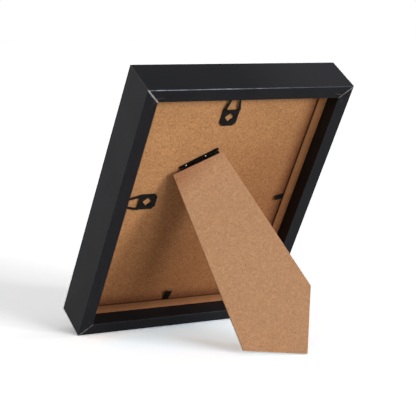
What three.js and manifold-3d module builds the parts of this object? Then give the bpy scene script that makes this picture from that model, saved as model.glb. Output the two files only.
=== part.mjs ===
// A deep picture frame with its back showing, leaning on its folding leg. Millimetres, Z up.
// Left and right are as seen from behind, the side that the leg is on.
// The pieces are laid out on the frame as if it stood upright: X runs to the right, Y up the frame
// and Z out of the back, from the middle of the frame's lower back edge.

import * as THREE from 'three';
import { mergeVertices } from 'three/addons/utils/BufferGeometryUtils.js';
import Module from 'manifold-3d';

const wasm = await Module();
wasm.setup();

// Clearances
const SEAT = 0.3; // between pieces that lie on each other
const GLUE = 0.1; // between pieces that are glued
const SLIP = 0.15; // around a pin, petal or shank in its hole

// The four mitred rails, deep box mouldings with a lip in front
const FRAME_W = 160.5;
const FRAME_H = 212;
const FRAME_D = 31;
const RAIL_W = 9.5; // back face
const LIP_T = 4;

// The liner strips glued inside the rails, with a ledge for the mat
const LINER_W = 7;
const LINER_DROP = 11; // from the frame's back to the strips' back
const LEDGE_W = 3;

// The V-nails that close each mitre from behind
const V_NAIL_IN = 6.9; // from both outer faces to the point of the V
const V_NAIL_WING = 6.3;
const V_NAIL_HALF_ANGLE = THREE.MathUtils.degToRad(52);
const V_NAIL_T = 0.5;
const V_NAIL_DEPTH = 10;

// What the frame holds, from the front: glazing, mat, insert sheet and back board
const GLAZING_T = 2;
const GLAZING_PLAY = 0.4;
const MAT_T = 1.5;
const MAT_BORDER_SIDE = 20;
const MAT_BORDER_END = 25;
const SHEET_T = 0.3;
const BOARD_T = 2.5;
const BOARD_GAP = 0.6; // between the board's edge and the liner
const BOARD_DROP = 0.8; // from the strips' back to the board's back

// The bendable tabs that keep the board in
const TAB_L = 12.2;
const TAB_W = 4.5;
const TAB_T = 0.35;
const TAB_CORNER = 0.6;
const TAB_LIFT = 0.35; // from the board's back to the middle of the tab
const TAB_BEND_IN = 0.3; // from the liner's edge to the bend
const TABS = [
  { side: 'bottom', along: -8.8, blade: 10.2, bend: THREE.MathUtils.degToRad(13) },
  { side: 'right', along: 2.7, blade: 7.2, bend: THREE.MathUtils.degToRad(14) },
];

// The hangers, one for each way up
const HANGER_IN = 30.9; // from the frame's outer face to the middle of the diamond hole
const HANGER_T = 0.6;
const HANGER_HALF_W = 6.5;
const HANGER_TAIL = 7; // from the diamond's middle to the body's end
const HANGER_SHOULDER = 6.65; // from the diamond's middle to the loop
const HANGER_CORNER = 2.4;
const HANGER_STEP = 0.8; // how far the loop is cranked off the board
const HANGER_LAP = 1.5; // length of the crank on the body
const HANGER_TIP_HALF_W = 3.5;
const LOOP_L = 9.45;
const LOOP_HALF_NEAR = 4.55;
const LOOP_HALF_FAR = 2.75;
const LOOP_BAR = 1.6;
const TOOTH_H = 1.1;
const DIAMOND_HALF = 3.6;
const PETAL_T = 0.6;
const PETAL_DEPTH = 2;
const HANGERS = [
  { side: 'top', along: 5 },
  { side: 'left', along: -5.6 },
];

// The hinge, a narrow strip on a slant across the board
const HINGE_X = -19.9;
const HINGE_UP = 37.8; // above the middle of the frame
const HINGE_SLANT = THREE.MathUtils.degToRad(30);
const STRIP_L = 30;
const STRIP_SHIFT = 2.4; // of the strip's middle from the leg's middle
const LEAF_T = 0.5;
const BOARD_LEAF_W = 4.2;
const LEG_LEAF_W = 12;
const KNUCKLES = 5;
const KNUCKLE_R = 1;
const KNUCKLE_GAP = 0.3;
const PIN_R = 0.4;
const TONGUE_W = 4;
const TONGUE_L = 2.6;
const RIVET_PITCH = 15.3;
const RIVET_UP = 2.3; // from the pin to the rivets
const RIVET_R = 0.7;
const RIVET_HEAD_R = 1.15;
const RIVET_HEAD_H = 0.7;
const RIVET_TAIL_R = 1.3;
const RIVET_TAIL_H = 0.5;
const LEAF_DIAMOND_HALF = 2;
const LEAF_PETAL_PITCH = 16;

// The leg, whose foot fills the board's lower right corner when it is folded
const LEG_T = 2.5;
const LEG_TOP_W = 38;
const LEG_TOP_LEFT = 0.2; // from the pin to the leg's top edge at its left end
const LEG_TOP_RIGHT = 1.1;
const FOOT_LOW_W = 45; // the edge that stands when the frame is upright
const FOOT_SIDE_H = 47.2; // the edge that stands when the frame is on its side
const LEG_OPEN = THREE.MathUtils.degToRad(47);

// Places that follow from the sizes above
const OPENING_IN = RAIL_W + LINER_W;
const LIP_W = OPENING_IN + LEDGE_W;
const BOARD_BACK = LINER_DROP + BOARD_DROP;
const SHEET_BACK = BOARD_BACK + BOARD_T + SEAT;
const MAT_BACK = SHEET_BACK + SHEET_T + SEAT;
const LEDGE_BACK = MAT_BACK + MAT_T + SEAT;
const GLAZING_FRONT = FRAME_D - LIP_T - SEAT;
const LINER_FRONT = GLAZING_FRONT - GLAZING_T - SEAT;
const INSIDE_W = FRAME_W - 2 * (OPENING_IN + BOARD_GAP);
const INSIDE_H = FRAME_H - 2 * (OPENING_IN + BOARD_GAP);
const PIN_UP = KNUCKLE_R + SEAT; // from the board's back to the pin
const LEG_SEAT = KNUCKLE_R + SEAT; // from the pin to the leg's inner face
const STRIP_PITCH = STRIP_L / KNUCKLES;

const foil = (name, color) => new THREE.MeshStandardMaterial({ name, color, roughness: 0.45, metalness: 0 });
const board = (name, color) => new THREE.MeshStandardMaterial({ name, color, roughness: 0.8, metalness: 0 });
const steel = (name, color, roughness) => new THREE.MeshStandardMaterial({ name, color, roughness, metalness: 1 });
const RAIL_FOIL = foil('black foil', 0x242425);
const LINER_BOARD = board('bare fibreboard', 0xc79a72);
const BACK_BOARD = board('hardboard', 0xc08a56);
const LEG_BOARD = board('hardboard leg', 0xc8986a);
const MAT_CARD = board('white card', 0xf0efe9);
const SHEET_PAPER = board('plain paper', 0xdcdfe0);
const BLACK_STEEL = foil('black steel', 0x19191a);
const RIVET_STEEL = steel('bright rivet', 0xb9babd, 0.3);
const NAIL_STEEL = steel('nail steel', 0x9a9a98, 0.45);
const GLAZING = new THREE.MeshStandardMaterial({
  name: 'clear glazing', color: 0xe6efef, roughness: 0.05, metalness: 0, transparent: true, opacity: 0.3,
});

function asManifold(geometry) {
  const bare = geometry.clone();
  bare.deleteAttribute('normal');
  bare.deleteAttribute('uv');
  const merged = mergeVertices(bare, 1e-4);
  return new wasm.Manifold(new wasm.Mesh({
    numProp: 3,
    vertProperties: merged.attributes.position.array,
    triVerts: Uint32Array.from(merged.index.array),
  }));
}

function asGeometry(manifold) {
  const mesh = manifold.getMesh();
  const geometry = new THREE.BufferGeometry();
  geometry.setAttribute('position', new THREE.BufferAttribute(mesh.vertProperties, mesh.numProp));
  geometry.setIndex(new THREE.BufferAttribute(mesh.triVerts, 1));
  const faceted = geometry.toNonIndexed();
  faceted.computeVertexNormals();
  return faceted;
}

function join(geometries) {
  return asGeometry(geometries.map(asManifold).reduce((whole, piece) => whole.add(piece)));
}

function cut(geometry, tools) {
  return asGeometry(tools.map(asManifold).reduce((left, tool) => left.subtract(tool), asManifold(geometry)));
}

function outline(points) {
  return new THREE.Shape(points.map(([x, y]) => new THREE.Vector2(x, y)));
}

function slab(shape, low, high) {
  const geometry = new THREE.ExtrudeGeometry(shape, { depth: high - low, bevelEnabled: false });
  geometry.translate(0, 0, low);
  return geometry;
}

function block([x0, x1], [y0, y1], [z0, z1]) {
  const geometry = new THREE.BoxGeometry(x1 - x0, y1 - y0, z1 - z0);
  geometry.translate((x0 + x1) / 2, (y0 + y1) / 2, (z0 + z1) / 2);
  return geometry;
}

// A section given as Y and Z, drawn out along X
function prismAlongX(section, x0, x1) {
  const geometry = slab(outline(section), x0, x1);
  const turn = new THREE.Matrix4().set(0, 0, 1, 0, 1, 0, 0, 0, 0, 1, 0, 0, 0, 0, 0, 1);
  return geometry.applyMatrix4(turn);
}

function rodAlongX(radius, x0, x1) {
  const geometry = new THREE.CylinderGeometry(radius, radius, x1 - x0, 20);
  geometry.rotateZ(Math.PI / 2);
  geometry.translate((x0 + x1) / 2, 0, 0);
  return geometry;
}

function place(x, y, z, turn) {
  const group = new THREE.Group();
  group.position.set(x, y, z);
  group.rotation.z = turn;
  group.updateMatrix();
  return group;
}

function add(parent, name, geometry, material) {
  const mesh = new THREE.Mesh(geometry, material);
  mesh.name = name;
  parent.add(mesh);
  return mesh;
}

// Each side has a group whose X runs along the side and whose Y points into the frame
const SIDES = {
  bottom: { at: place(0, 0, 0, 0), length: FRAME_W },
  right: { at: place(FRAME_W / 2, FRAME_H / 2, 0, Math.PI / 2), length: FRAME_H },
  top: { at: place(0, FRAME_H, 0, Math.PI), length: FRAME_W },
  left: { at: place(-FRAME_W / 2, FRAME_H / 2, 0, -Math.PI / 2), length: FRAME_H },
};

// A bar along X with its outer face on Y = 0, mitred at both ends
function mitredBar(section, length) {
  const geometry = prismAlongX(section, -1, 1);
  const corner = geometry.attributes.position;
  const half = (length - Math.SQRT2 * GLUE) / 2;
  for (let i = 0; i < corner.count; i += 1) {
    corner.setX(i, corner.getX(i) * (half - corner.getY(i)));
  }
  return geometry;
}

// The V seen from behind, its point on the origin and its wings open towards positive Y
function vNail(wing, thickness, deep, high) {
  const inner = thickness / 2 / Math.sin(V_NAIL_HALF_ANGLE);
  const along = new THREE.Vector2(Math.sin(V_NAIL_HALF_ANGLE), Math.cos(V_NAIL_HALF_ANGLE));
  const across = new THREE.Vector2(along.y, -along.x).multiplyScalar(thickness / 2);
  const tip = along.clone().multiplyScalar(wing);
  const low = tip.clone().add(across);
  const top = tip.clone().sub(across);
  const points = [[0, -inner], [low.x, low.y], [top.x, top.y], [0, inner], [-top.x, top.y], [-low.x, low.y]];
  return slab(outline(points), deep, high);
}

function vNailSlots(length) {
  return [-1, 1].map((end) => {
    const slot = vNail(V_NAIL_WING + SLIP, V_NAIL_T + 2 * SLIP, -V_NAIL_DEPTH - SLIP, SLIP);
    slot.rotateZ(end * Math.PI / 4);
    slot.translate(end * (length / 2 - V_NAIL_IN), V_NAIL_IN, 0);
    return slot;
  });
}

function rail(length) {
  const lipBack = LIP_T - FRAME_D;
  const section = [[0, 0], [0, -FRAME_D], [LIP_W, -FRAME_D], [LIP_W, lipBack], [RAIL_W, lipBack], [RAIL_W, 0]];
  return cut(mitredBar(section, length), vNailSlots(length));
}

function liner(length, tabs) {
  const width = LINER_W - GLUE;
  const ledge = width + LEDGE_W;
  const section = [
    [0, -LINER_DROP], [0, -LINER_FRONT], [ledge, -LINER_FRONT], [ledge, -LEDGE_BACK],
    [width, -LEDGE_BACK], [width, -LINER_DROP],
  ];
  const slots = tabs.map((tab) => block(
    [tab.along - TAB_W / 2 - SLIP, tab.along + TAB_W / 2 + SLIP],
    [width - (TAB_L - tab.blade) - SLIP, width + SEAT],
    [tabHeight() - TAB_T / 2 - SLIP / 2, tabHeight() + TAB_T / 2 + SLIP / 2],
  ));
  return cut(mitredBar(section, length), slots);
}

function tabHeight() {
  return TAB_LIFT - BOARD_BACK;
}

// Four petals folded down from a diamond hole whose middle is the origin, and the slots they go in
function petals(half, low, high) {
  const edge = half * Math.SQRT2;
  return [0, 1, 2, 3].map((k) => {
    const petal = slab(outline([[-edge / 2, high], [0, low], [edge / 2, high]]), 0, PETAL_T);
    petal.rotateX(Math.PI / 2);
    petal.translate(0, edge / 2 + PETAL_T, 0);
    petal.rotateZ((k + 0.5) * Math.PI / 2);
    return petal;
  });
}

function petalSlots(half, low, high) {
  const edge = half * Math.SQRT2;
  return [0, 1, 2, 3].map((k) => {
    const slot = block(
      [-edge / 2, edge / 2],
      [edge / 2 - SLIP, edge / 2 + PETAL_T + SLIP],
      [low, high],
    );
    slot.rotateZ((k + 0.5) * Math.PI / 2);
    return slot;
  });
}

function diamond(half, x, y) {
  return [[x + half, y], [x, y + half], [x - half, y], [x, y - half]];
}

// A pierced plate on petals, cranked up into an open loop with two teeth for the nail
function hanger() {
  const loopEnd = HANGER_SHOULDER + LOOP_L;
  const tip = loopEnd + LOOP_BAR;
  const crank = HANGER_SHOULDER - HANGER_LAP;
  const low = SEAT;
  const high = SEAT + HANGER_STEP;
  const edge = [
    [-HANGER_TAIL, low], [crank, low], [HANGER_SHOULDER, high], [tip, high],
    [tip, high + HANGER_T], [HANGER_SHOULDER, high + HANGER_T], [crank, low + HANGER_T],
    [-HANGER_TAIL, low + HANGER_T],
  ];
  const face = [
    [-HANGER_HALF_W, -HANGER_TAIL + HANGER_CORNER], [-HANGER_HALF_W + HANGER_CORNER, -HANGER_TAIL],
    [HANGER_HALF_W - HANGER_CORNER, -HANGER_TAIL], [HANGER_HALF_W, -HANGER_TAIL + HANGER_CORNER],
    [HANGER_HALF_W, HANGER_SHOULDER], [HANGER_TIP_HALF_W, tip],
    [-HANGER_TIP_HALF_W, tip], [-HANGER_HALF_W, HANGER_SHOULDER],
  ];
  const toothTip = loopEnd - TOOTH_H;
  const loop = [
    [-LOOP_HALF_NEAR, HANGER_SHOULDER], [LOOP_HALF_NEAR, HANGER_SHOULDER], [LOOP_HALF_FAR, toothTip],
    [LOOP_HALF_FAR / 2, loopEnd], [0, toothTip], [-LOOP_HALF_FAR / 2, loopEnd], [-LOOP_HALF_FAR, toothTip],
  ];
  const through = (shape) => asManifold(slab(shape, -HANGER_T, high + 2 * HANGER_T));
  const plate = asManifold(prismAlongX(edge, -HANGER_HALF_W, HANGER_HALF_W))
    .intersect(through(outline(face)))
    .subtract(through(outline(loop)))
    .subtract(through(outline(diamond(DIAMOND_HALF, 0, 0))));
  return join([asGeometry(plate), ...petals(DIAMOND_HALF, -PETAL_DEPTH, SEAT + HANGER_T / 2)]);
}

function hangerPlace({ side, along }) {
  const group = place(along, HANGER_IN, -BOARD_BACK, Math.PI);
  group.applyMatrix4(SIDES[side].at.matrix);
  group.updateMatrix();
  return group;
}

// The hinge's own frame: X along the pin, Y up from it and Z off the board
const hinge = place(HINGE_X, FRAME_H / 2 + HINGE_UP, PIN_UP - BOARD_BACK, HINGE_SLANT);

function rivetSpots() {
  return [-1, 1].map((end) => [end * RIVET_PITCH / 2, RIVET_UP]);
}

function knuckle(index, radius, margin) {
  const start = STRIP_SHIFT - STRIP_L / 2 + index * STRIP_PITCH;
  return rodAlongX(radius, start + margin, start + STRIP_PITCH - margin);
}

// A plate on one side of the pin, with webs to its own knuckles. The owner's knuckles are odd or even.
function leaf(width, bottom, side, owner) {
  const start = STRIP_SHIFT - STRIP_L / 2;
  const inner = KNUCKLE_R + KNUCKLE_GAP;
  const span = (a, b) => (side > 0 ? [a, b] : [-b, -a]);
  const pieces = [block([start, start + STRIP_L], span(inner, width), [bottom, bottom + LEAF_T])];
  for (let k = owner; k < KNUCKLES; k += 2) {
    const from = start + k * STRIP_PITCH + KNUCKLE_GAP / 2;
    const to = from + STRIP_PITCH - KNUCKLE_GAP;
    pieces.push(knuckle(k, KNUCKLE_R, KNUCKLE_GAP / 2));
    pieces.push(block([from, to], span(0, inner + LEAF_T), [bottom, bottom + LEAF_T]));
  }
  return join(pieces);
}

function boardLeaf() {
  const bottom = -KNUCKLE_R;
  const holes = rivetSpots().map(([x, y]) => {
    const hole = new THREE.CylinderGeometry(RIVET_R + SLIP, RIVET_R + SLIP, 4 * LEAF_T, 20);
    hole.rotateX(Math.PI / 2);
    hole.translate(x, y, bottom);
    return hole;
  });
  return cut(leaf(BOARD_LEAF_W, bottom, 1, 1), [...holes, rodAlongX(PIN_R + SLIP, -STRIP_L, STRIP_L)]);
}

// The leg's leaf also carries the tongue that comes down on the board's leaf when the leg is open
function legLeaf() {
  const bottom = KNUCKLE_R - LEAF_T;
  const tongueLow = LEAF_T - KNUCKLE_R + SEAT;
  const tongue = block(
    [STRIP_SHIFT - TONGUE_W / 2, STRIP_SHIFT + TONGUE_W / 2],
    [0, TONGUE_L],
    [tongueLow, tongueLow + LEAF_T],
  );
  tongue.rotateX(LEG_OPEN);
  const plate = join([leaf(LEG_LEAF_W, bottom, -1, 0), tongue]);
  const ends = leafPetalSpots();
  const holes = ends.map(([x, y]) => slab(outline(diamond(LEAF_DIAMOND_HALF, x, y)), 0, 2 * KNUCKLE_R));
  const pierced = cut(plate, [...holes, rodAlongX(PIN_R + SLIP, -STRIP_L, STRIP_L)]);
  const feet = ends.flatMap(([x, y]) => legPetals(petals, x, y, -PETAL_DEPTH, SEAT + LEAF_T / 2));
  return join([pierced, ...feet]);
}

function leafPetalSpots() {
  const y = -(LEG_LEAF_W + KNUCKLE_R) / 2;
  return [-1, 1].map((end) => [end * LEAF_PETAL_PITCH / 2 + STRIP_SHIFT, y]);
}

// Petals, or their slots, that point into the leg from its inner face
function legPetals(make, x, y, low, high) {
  return make(LEAF_DIAMOND_HALF, low, high).map((petal) => {
    petal.rotateX(Math.PI);
    petal.translate(x, y, LEG_SEAT);
    return petal;
  });
}

function rivet(grow) {
  const leafTop = LEAF_T - KNUCKLE_R;
  const boardFront = -PIN_UP - BOARD_T;
  const tailTop = boardFront + RIVET_TAIL_H;
  const headLow = leafTop + (grow ? 0 : SEAT / 2);
  const profile = [
    [0, boardFront - grow], [RIVET_TAIL_R + grow, boardFront - grow], [RIVET_TAIL_R + grow, tailTop + grow],
    [RIVET_R + grow, tailTop + grow], [RIVET_R + grow, headLow],
  ].map(([r, z]) => new THREE.Vector2(r, z));
  for (let k = 0; k <= 5; k += 1) {
    const angle = k * Math.PI / 10;
    profile.push(new THREE.Vector2(RIVET_HEAD_R * Math.cos(angle), headLow + RIVET_HEAD_H * Math.sin(angle)));
  }
  profile[profile.length - 1].x = 0;
  const geometry = new THREE.LatheGeometry(profile, 20);
  geometry.rotateX(Math.PI / 2);
  return geometry;
}

function backBoard() {
  const plate = block([-INSIDE_W / 2, INSIDE_W / 2], [-INSIDE_H / 2, INSIDE_H / 2], [-BOARD_T, 0]);
  plate.translate(0, FRAME_H / 2, -BOARD_BACK);
  const holes = rivetSpots().map(([x, y]) => {
    const hole = rivet(SLIP);
    hole.translate(x, y, 0);
    hole.applyMatrix4(hinge.matrix);
    return hole;
  });
  const slots = HANGERS.flatMap((spot) => petalSlots(DIAMOND_HALF, -PETAL_DEPTH - SLIP, SLIP).map(
    (slot) => slot.applyMatrix4(hangerPlace(spot).matrix),
  ));
  return cut(plate, [...holes, ...slots]);
}

// The leg's outline in the hinge's frame, drawn as it lies when it is folded on the board
function legOutline() {
  const footX = FRAME_W / 2 - OPENING_IN;
  const corners = [
    [footX, OPENING_IN + FOOT_SIDE_H], [footX, OPENING_IN], [footX - FOOT_LOW_W, OPENING_IN],
  ].map(([x, y]) => new THREE.Vector3(x, y, 0).applyMatrix4(hinge.matrix.clone().invert()));
  return [
    [-LEG_TOP_W / 2, -LEG_TOP_LEFT], [LEG_TOP_W / 2, -LEG_TOP_RIGHT], ...corners.map(({ x, y }) => [x, y]),
  ];
}

function leg() {
  const slots = leafPetalSpots().flatMap(([x, y]) => legPetals(petalSlots, x, y, -PETAL_DEPTH - SLIP, SLIP));
  return cut(slab(outline(legOutline()), LEG_SEAT, LEG_SEAT + LEG_T), slots);
}

function mat() {
  const plate = block([-INSIDE_W / 2, INSIDE_W / 2], [-INSIDE_H / 2, INSIDE_H / 2], [-MAT_T, 0]);
  const window = new THREE.BoxGeometry(2, 2, 3 * MAT_T);
  const corner = window.attributes.position;
  for (let i = 0; i < corner.count; i += 1) {
    const bevel = -MAT_T / 2 - corner.getZ(i);
    const halfW = INSIDE_W / 2 - MAT_BORDER_SIDE + bevel;
    const halfH = INSIDE_H / 2 - MAT_BORDER_END + bevel;
    corner.setXYZ(i, corner.getX(i) * halfW, corner.getY(i) * halfH, corner.getZ(i) - MAT_T / 2);
  }
  return cut(plate, [window]);
}

// The upright frame, which leans back as a whole in the end
const frame = new THREE.Group();

for (const [side, { at, length }] of Object.entries(SIDES)) {
  const sideTabs = TABS.filter((tab) => tab.side === side);
  const linerLength = length - 2 * (RAIL_W + GLUE);
  add(at, `rail_${side}`, rail(length), RAIL_FOIL);
  add(at, `liner_${side}`, liner(linerLength, sideTabs), LINER_BOARD).position.y = RAIL_W + GLUE;
  frame.add(at);

  for (const { along, blade, bend } of sideTabs) {
    const shank = block([-TAB_W / 2, TAB_W / 2], [blade - TAB_L, 0], [-TAB_T / 2, TAB_T / 2]);
    const shankMesh = add(at, `tab_shank_${side}`, shank, BLACK_STEEL);
    shankMesh.position.set(along, OPENING_IN, tabHeight());
    const leafEnd = outline([
      [-TAB_W / 2, 0], [TAB_W / 2, 0], [TAB_W / 2, blade - TAB_CORNER], [TAB_W / 2 - TAB_CORNER, blade],
      [TAB_CORNER - TAB_W / 2, blade], [-TAB_W / 2, blade - TAB_CORNER],
    ]);
    const bladeMesh = add(at, `tab_blade_${side}`, slab(leafEnd, -TAB_T / 2, TAB_T / 2), BLACK_STEEL);
    bladeMesh.position.set(along, OPENING_IN + TAB_BEND_IN, tabHeight());
    bladeMesh.rotation.x = bend;
  }
}

const CORNERS = [
  { name: 'bottom_left', x: -1, y: 0, turn: -Math.PI / 4 },
  { name: 'bottom_right', x: 1, y: 0, turn: Math.PI / 4 },
  { name: 'top_right', x: 1, y: 1, turn: 3 * Math.PI / 4 },
  { name: 'top_left', x: -1, y: 1, turn: -3 * Math.PI / 4 },
];
for (const { name, x, y, turn } of CORNERS) {
  const spot = place(
    x * (FRAME_W / 2 - V_NAIL_IN),
    y ? FRAME_H - V_NAIL_IN : V_NAIL_IN,
    0,
    turn,
  );
  add(spot, `v_nail_${name}`, vNail(V_NAIL_WING, V_NAIL_T, -V_NAIL_DEPTH, -SLIP), NAIL_STEEL);
  frame.add(spot);
}

const glazing = add(frame, 'glazing', new THREE.BoxGeometry(
  FRAME_W - 2 * (RAIL_W + GLAZING_PLAY),
  FRAME_H - 2 * (RAIL_W + GLAZING_PLAY),
  GLAZING_T,
), GLAZING);
glazing.position.set(0, FRAME_H / 2, GLAZING_T / 2 - GLAZING_FRONT);
add(frame, 'mat', mat(), MAT_CARD).position.set(0, FRAME_H / 2, -MAT_BACK);
const sheet = add(frame, 'insert_sheet', new THREE.BoxGeometry(INSIDE_W, INSIDE_H, SHEET_T), SHEET_PAPER);
sheet.position.set(0, FRAME_H / 2, -SHEET_BACK - SHEET_T / 2);
add(frame, 'back_board', backBoard(), BACK_BOARD);

for (const spot of HANGERS) {
  const group = hangerPlace(spot);
  add(group, `hanger_${spot.side}`, hanger(), BLACK_STEEL);
  frame.add(group);
}

add(hinge, 'hinge_board_leaf', boardLeaf(), BLACK_STEEL);
const pinHalf = STRIP_L / 2 + KNUCKLE_GAP;
add(hinge, 'hinge_pin', rodAlongX(PIN_R, STRIP_SHIFT - pinHalf, STRIP_SHIFT + pinHalf), BLACK_STEEL);
rivetSpots().forEach(([x, y], index) => {
  add(hinge, `hinge_rivet_${index ? 'right' : 'left'}`, rivet(0), RIVET_STEEL).position.set(x, y, 0);
});
const opened = new THREE.Group();
opened.rotation.x = -LEG_OPEN;
add(opened, 'hinge_leg_leaf', legLeaf(), BLACK_STEEL);
const legMesh = add(opened, 'leg', leg(), LEG_BOARD);
hinge.add(opened);
frame.add(hinge);

// The frame leans back until its lower back edge and the corner of the leg's foot are level
frame.updateMatrixWorld(true);
const [, , , foot] = legOutline();
const corner = legMesh.localToWorld(new THREE.Vector3(foot[0], foot[1], LEG_SEAT));
const lean = Math.atan2(corner.y, corner.z);
frame.quaternion.setFromRotationMatrix(new THREE.Matrix4().makeBasis(
  new THREE.Vector3(-1, 0, 0),
  new THREE.Vector3(0, Math.sin(lean), Math.cos(lean)),
  new THREE.Vector3(0, Math.cos(lean), -Math.sin(lean)),
));

// The origin lies on the floor under the middle of the whole
const model = new THREE.Group();
model.add(frame);
const bounds = new THREE.Box3().setFromObject(model, true);
const middle = bounds.getCenter(new THREE.Vector3());
frame.position.set(-middle.x, -middle.y, -bounds.min.z);

export default model;
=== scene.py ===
# A deep picture frame that leans on its easel leg, seen from behind.
# Left and right are as seen from behind, the side that the leg is on.
import math

import bmesh
import bpy
from mathutils import Matrix, Vector
from mathutils.geometry import tessellate_polygon as tessellate


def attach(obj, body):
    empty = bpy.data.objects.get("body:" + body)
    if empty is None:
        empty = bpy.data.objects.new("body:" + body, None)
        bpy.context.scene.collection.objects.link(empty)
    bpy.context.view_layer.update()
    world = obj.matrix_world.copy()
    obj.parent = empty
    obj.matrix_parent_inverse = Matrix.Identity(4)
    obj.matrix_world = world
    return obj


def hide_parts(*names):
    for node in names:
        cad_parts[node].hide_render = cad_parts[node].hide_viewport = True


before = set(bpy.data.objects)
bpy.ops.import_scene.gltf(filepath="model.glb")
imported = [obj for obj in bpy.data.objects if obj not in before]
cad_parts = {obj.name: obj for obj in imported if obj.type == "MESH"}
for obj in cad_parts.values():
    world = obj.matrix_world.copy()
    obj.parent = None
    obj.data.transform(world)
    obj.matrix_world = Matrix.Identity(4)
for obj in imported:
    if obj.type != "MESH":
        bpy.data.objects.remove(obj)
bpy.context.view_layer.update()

# Camera
# It stands behind the frame, to its left and above, and looks down on the leg and the back board.
camera_data = bpy.data.cameras.new("camera")
camera_data.lens = 124.385
camera_data.sensor_width = 36
camera = bpy.data.objects.new("camera", camera_data)
camera.matrix_world = Matrix((
    (-0.868618, -0.059147, 0.491940, 0.502844),
    (0.495270, -0.132716, 0.858542, 0.876373),
    (0.014508, 0.989387, 0.144574, 0.242250),
    (0, 0, 0, 1),
))
bpy.context.scene.collection.objects.link(camera)
bpy.context.scene.camera = camera
bpy.context.scene.view_settings.view_transform = "Standard"


# Floor, backdrop and lamps
# A pale table top that runs off into a white backdrop. The key lamp stands low behind the frame on its
# right and throws the leg's shadow, the front one softens it and the side one grazes rails and mitres.
def put(tree, kind, wires=None, **settings):
    """Adds a node. Wires sets its inputs, from another node's output or to a value."""
    node = tree.nodes.new(kind)
    for name, value in settings.items():
        setattr(node, name, value)
    for name, value in (wires or {}).items():
        if isinstance(value, bpy.types.NodeSocket):
            tree.links.new(value, node.inputs[name])
        else:
            node.inputs[name].default_value = value
    return node


def out(tree, kind, wires=None, **settings):
    """Adds a node and gives its first output."""
    return put(tree, kind, wires, **settings).outputs[0]


def calc(tree, operation, first, second=0.0, third=0.0):
    """One step of arithmetic between outputs and numbers."""
    return out(tree, "ShaderNodeMath", {0: first, 1: second, 2: third}, operation=operation)


def times(tree, product, *others):
    """The product of several outputs and numbers."""
    for other in others:
        product = calc(tree, "MULTIPLY", product, other)
    return product


def ramp(tree, value, start, end, low=0.0, high=1.0):
    """Goes smoothly from low to high while value goes from start to end."""
    return out(tree, "ShaderNodeMapRange", {
        "Value": value, "From Min": start, "From Max": end, "To Min": low, "To Max": high,
    }, interpolation_type="SMOOTHSTEP")


def mixed(tree, factor, first, second, how="MIX"):
    """Two colours, or a colour and a tone, mixed by a factor."""
    wires = {0: factor, 6: first, 7: second}
    return put(tree, "ShaderNodeMix", wires, data_type="RGBA", blend_type=how).outputs[2]


def seen_directly(tree, reflected):
    """1 for what the camera sees, also through glass, and less in a reflection."""
    path = put(tree, "ShaderNodeLightPath").outputs
    mirrored = times(tree, path["Is Glossy Ray"], reflected)
    either = calc(tree, "MAXIMUM", path["Is Camera Ray"], mirrored)
    return calc(tree, "MAXIMUM", either, path["Is Transmission Ray"])


FLOOR_REFLECTED = 0.42
SKY_REFLECTED = 0.9
FLOOR_REACH = 6.0
FLOOR_COLOUR = (0.93, 0.93, 0.93, 1)
FLOOR_SHOWN = (3.05, 3.05, 3.05, 1)
FLOOR_SHOWN_AT_LEG = (1.6, 2.9, 3.75, 1)
BEHIND_FRAME = (0, 0.03, 0)
BROWNED_WITHIN = 0.05
PLAIN_BEYOND = 0.1
FLOOR_NEAR = 0.12
FLOOR_LIFT = 0.14
SKY_LIGHT = 0.185
SKY_SHOWN_ABOVE = 0.35
LAMPS = {  # azimuth, height and spread in degrees, strength
    "key": (123, 5, 13, 1.65),
    "front": (103, 13, 20, 0.95),
    "side": (168, 7, 26, 0.6),
}

table_top = bpy.data.materials.new("pale table top")
table_top.use_nodes = True
tree = table_top.node_tree
surface = tree.nodes["Principled BSDF"]
here = put(tree, "ShaderNodeTexCoord").outputs["Object"]
mottle = put(tree, "ShaderNodeTexNoise", {"Vector": here, "Scale": 9.0, "Detail": 3.0})
# behind the frame it is shown bluer, against the brown light that the leg throws on it
from_leg = put(tree, "ShaderNodeVectorMath", {0: here, 1: BEHIND_FRAME}, operation="DISTANCE")
away = out(tree, "ShaderNodeMapRange", {
    "Value": from_leg.outputs["Value"], "From Min": BROWNED_WITHIN, "From Max": PLAIN_BEYOND,
})
openness = put(tree, "ShaderNodeAmbientOcclusion", {"Distance": FLOOR_NEAR}, samples=8).outputs["AO"]
shown = mixed(tree, calc(tree, "MAXIMUM", openness, away), FLOOR_SHOWN_AT_LEG, FLOOR_SHOWN)
direct = seen_directly(tree, FLOOR_REFLECTED)
tree.links.new(mixed(tree, direct, FLOOR_COLOUR, shown), surface.inputs["Base Color"])
tree.links.new(calc(tree, "MULTIPLY_ADD", mottle.outputs["Fac"], 0.1, 0.75), surface.inputs["Roughness"])
surface.inputs["Specular IOR Level"].default_value = 0.1
surface.inputs["Emission Color"].default_value = (1, 1, 1, 1)
tree.links.new(calc(tree, "MULTIPLY", direct, FLOOR_LIFT), surface.inputs["Emission Strength"])

floor_mesh = bpy.data.meshes.new("floor")
floor_mesh.from_pydata(
    [(x * FLOOR_REACH, y * FLOOR_REACH, -0.0001) for x, y in ((-1, -1), (1, -1), (1, 1), (-1, 1))],
    [], [(0, 1, 2, 3)],
)
floor_mesh.materials.append(table_top)
floor = bpy.data.objects.new("floor", floor_mesh)
bpy.context.scene.collection.objects.link(floor)

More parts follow.
